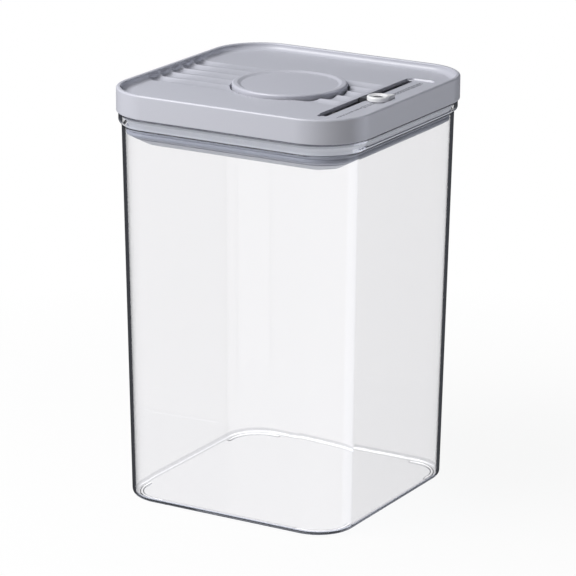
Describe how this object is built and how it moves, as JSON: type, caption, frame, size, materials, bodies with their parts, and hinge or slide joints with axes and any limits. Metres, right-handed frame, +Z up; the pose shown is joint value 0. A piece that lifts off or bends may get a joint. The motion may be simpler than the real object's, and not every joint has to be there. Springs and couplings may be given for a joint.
{
  "type": "push-button storage canister",
  "caption": "Clear square food canister with a grey push-button lid that spreads a rim seal, a fluted tray top and a sliding date pointer.",
  "frame": {"origin": "middle of the square that the corner feet stand on", "axes": "+Z up through the button; -Y is the front wall; +X is the side that carries the date scale"},
  "size_m": [0.11, 0.11, 0.1681],
  "materials": {
    "clear_plastic": "clear polished plastic",
    "lid_plastic": "fine satin, cool grey",
    "button_plastic": "fine satin, cool grey",
    "inner_plastic": "moulded satin",
    "dark_plastic": "moulded satin",
    "white_plastic": "low gloss",
    "seal_rubber": "soft matt silicone",
    "bright_steel": "bright drawn steel"
  },
  "bodies": {
    "container": {"container": "clear_plastic"},
    "lid": {"lid_cover": "lid_plastic", "plug_housing": "inner_plastic", "perimeter_seal": "seal_rubber", "bottom_cover": "inner_plastic", "cover_screw_1": "bright_steel", "cover_screw_2": "bright_steel", "cover_screw_3": "bright_steel", "cover_screw_4": "bright_steel", "latch_sleeve": "white_plastic"},
    "button": {"button_cap": "button_plastic", "button_stem": "white_plastic", "cam_ring": "white_plastic", "rotor_washer": "bright_steel", "rotor_screw": "bright_steel", "return_spring": "bright_steel"},
    "latch_rotor": {"latch_rotor": "dark_plastic"},
    "slide_right": {"seal_slide_right": "white_plastic"},
    "slide_back": {"seal_slide_back": "white_plastic"},
    "slide_left": {"seal_slide_left": "white_plastic"},
    "slide_front": {"seal_slide_front": "white_plastic"},
    "date_slider": {"date_slider_knob": "white_plastic", "date_slider_clip": "dark_plastic"}
  },
  "joints": [
    {"name": "lid_lift", "type": "slide", "parent": "container", "child": "lid", "axis": [0, 0, 1], "range_m": [0, 0.03]},
    {"name": "button_press", "type": "slide", "parent": "lid", "child": "button", "axis": [0, 0, 1], "range_m": [-0.0015, 0.006], "stiffness_N_per_m": 1500, "deforming": ["return_spring"]},
    {"name": "latch_turn", "type": "hinge", "parent": "button", "child": "latch_rotor", "pos_m": [0, 0, 0.1532], "axis": [0, 0, 1], "range_deg": [0, 45]},
    {"name": "slide_right_spread", "type": "slide", "parent": "lid", "child": "slide_right", "axis": [1, 0, 0], "range_m": [-0.0009, 0.00022]},
    {"name": "slide_back_spread", "type": "slide", "parent": "lid", "child": "slide_back", "axis": [0, 1, 0], "range_m": [-0.0009, 0.00022]},
    {"name": "slide_left_spread", "type": "slide", "parent": "lid", "child": "slide_left", "axis": [-1, 0, 0], "range_m": [-0.0009, 0.00022]},
    {"name": "slide_front_spread", "type": "slide", "parent": "lid", "child": "slide_front", "axis": [0, -1, 0], "range_m": [-0.0009, 0.00022]},
    {"name": "date_slide", "type": "slide", "parent": "lid", "child": "date_slider", "axis": [0, 1, 0], "range_m": [-0.03, 0.0318]}
  ],
  "couplings": [
    {"joint": "slide_right_spread", "follows": "button_press", "ratio": -0.15},
    {"joint": "slide_back_spread", "follows": "button_press", "ratio": -0.15},
    {"joint": "slide_left_spread", "follows": "button_press", "ratio": -0.15},
    {"joint": "slide_front_spread", "follows": "button_press", "ratio": -0.15}
  ]
}
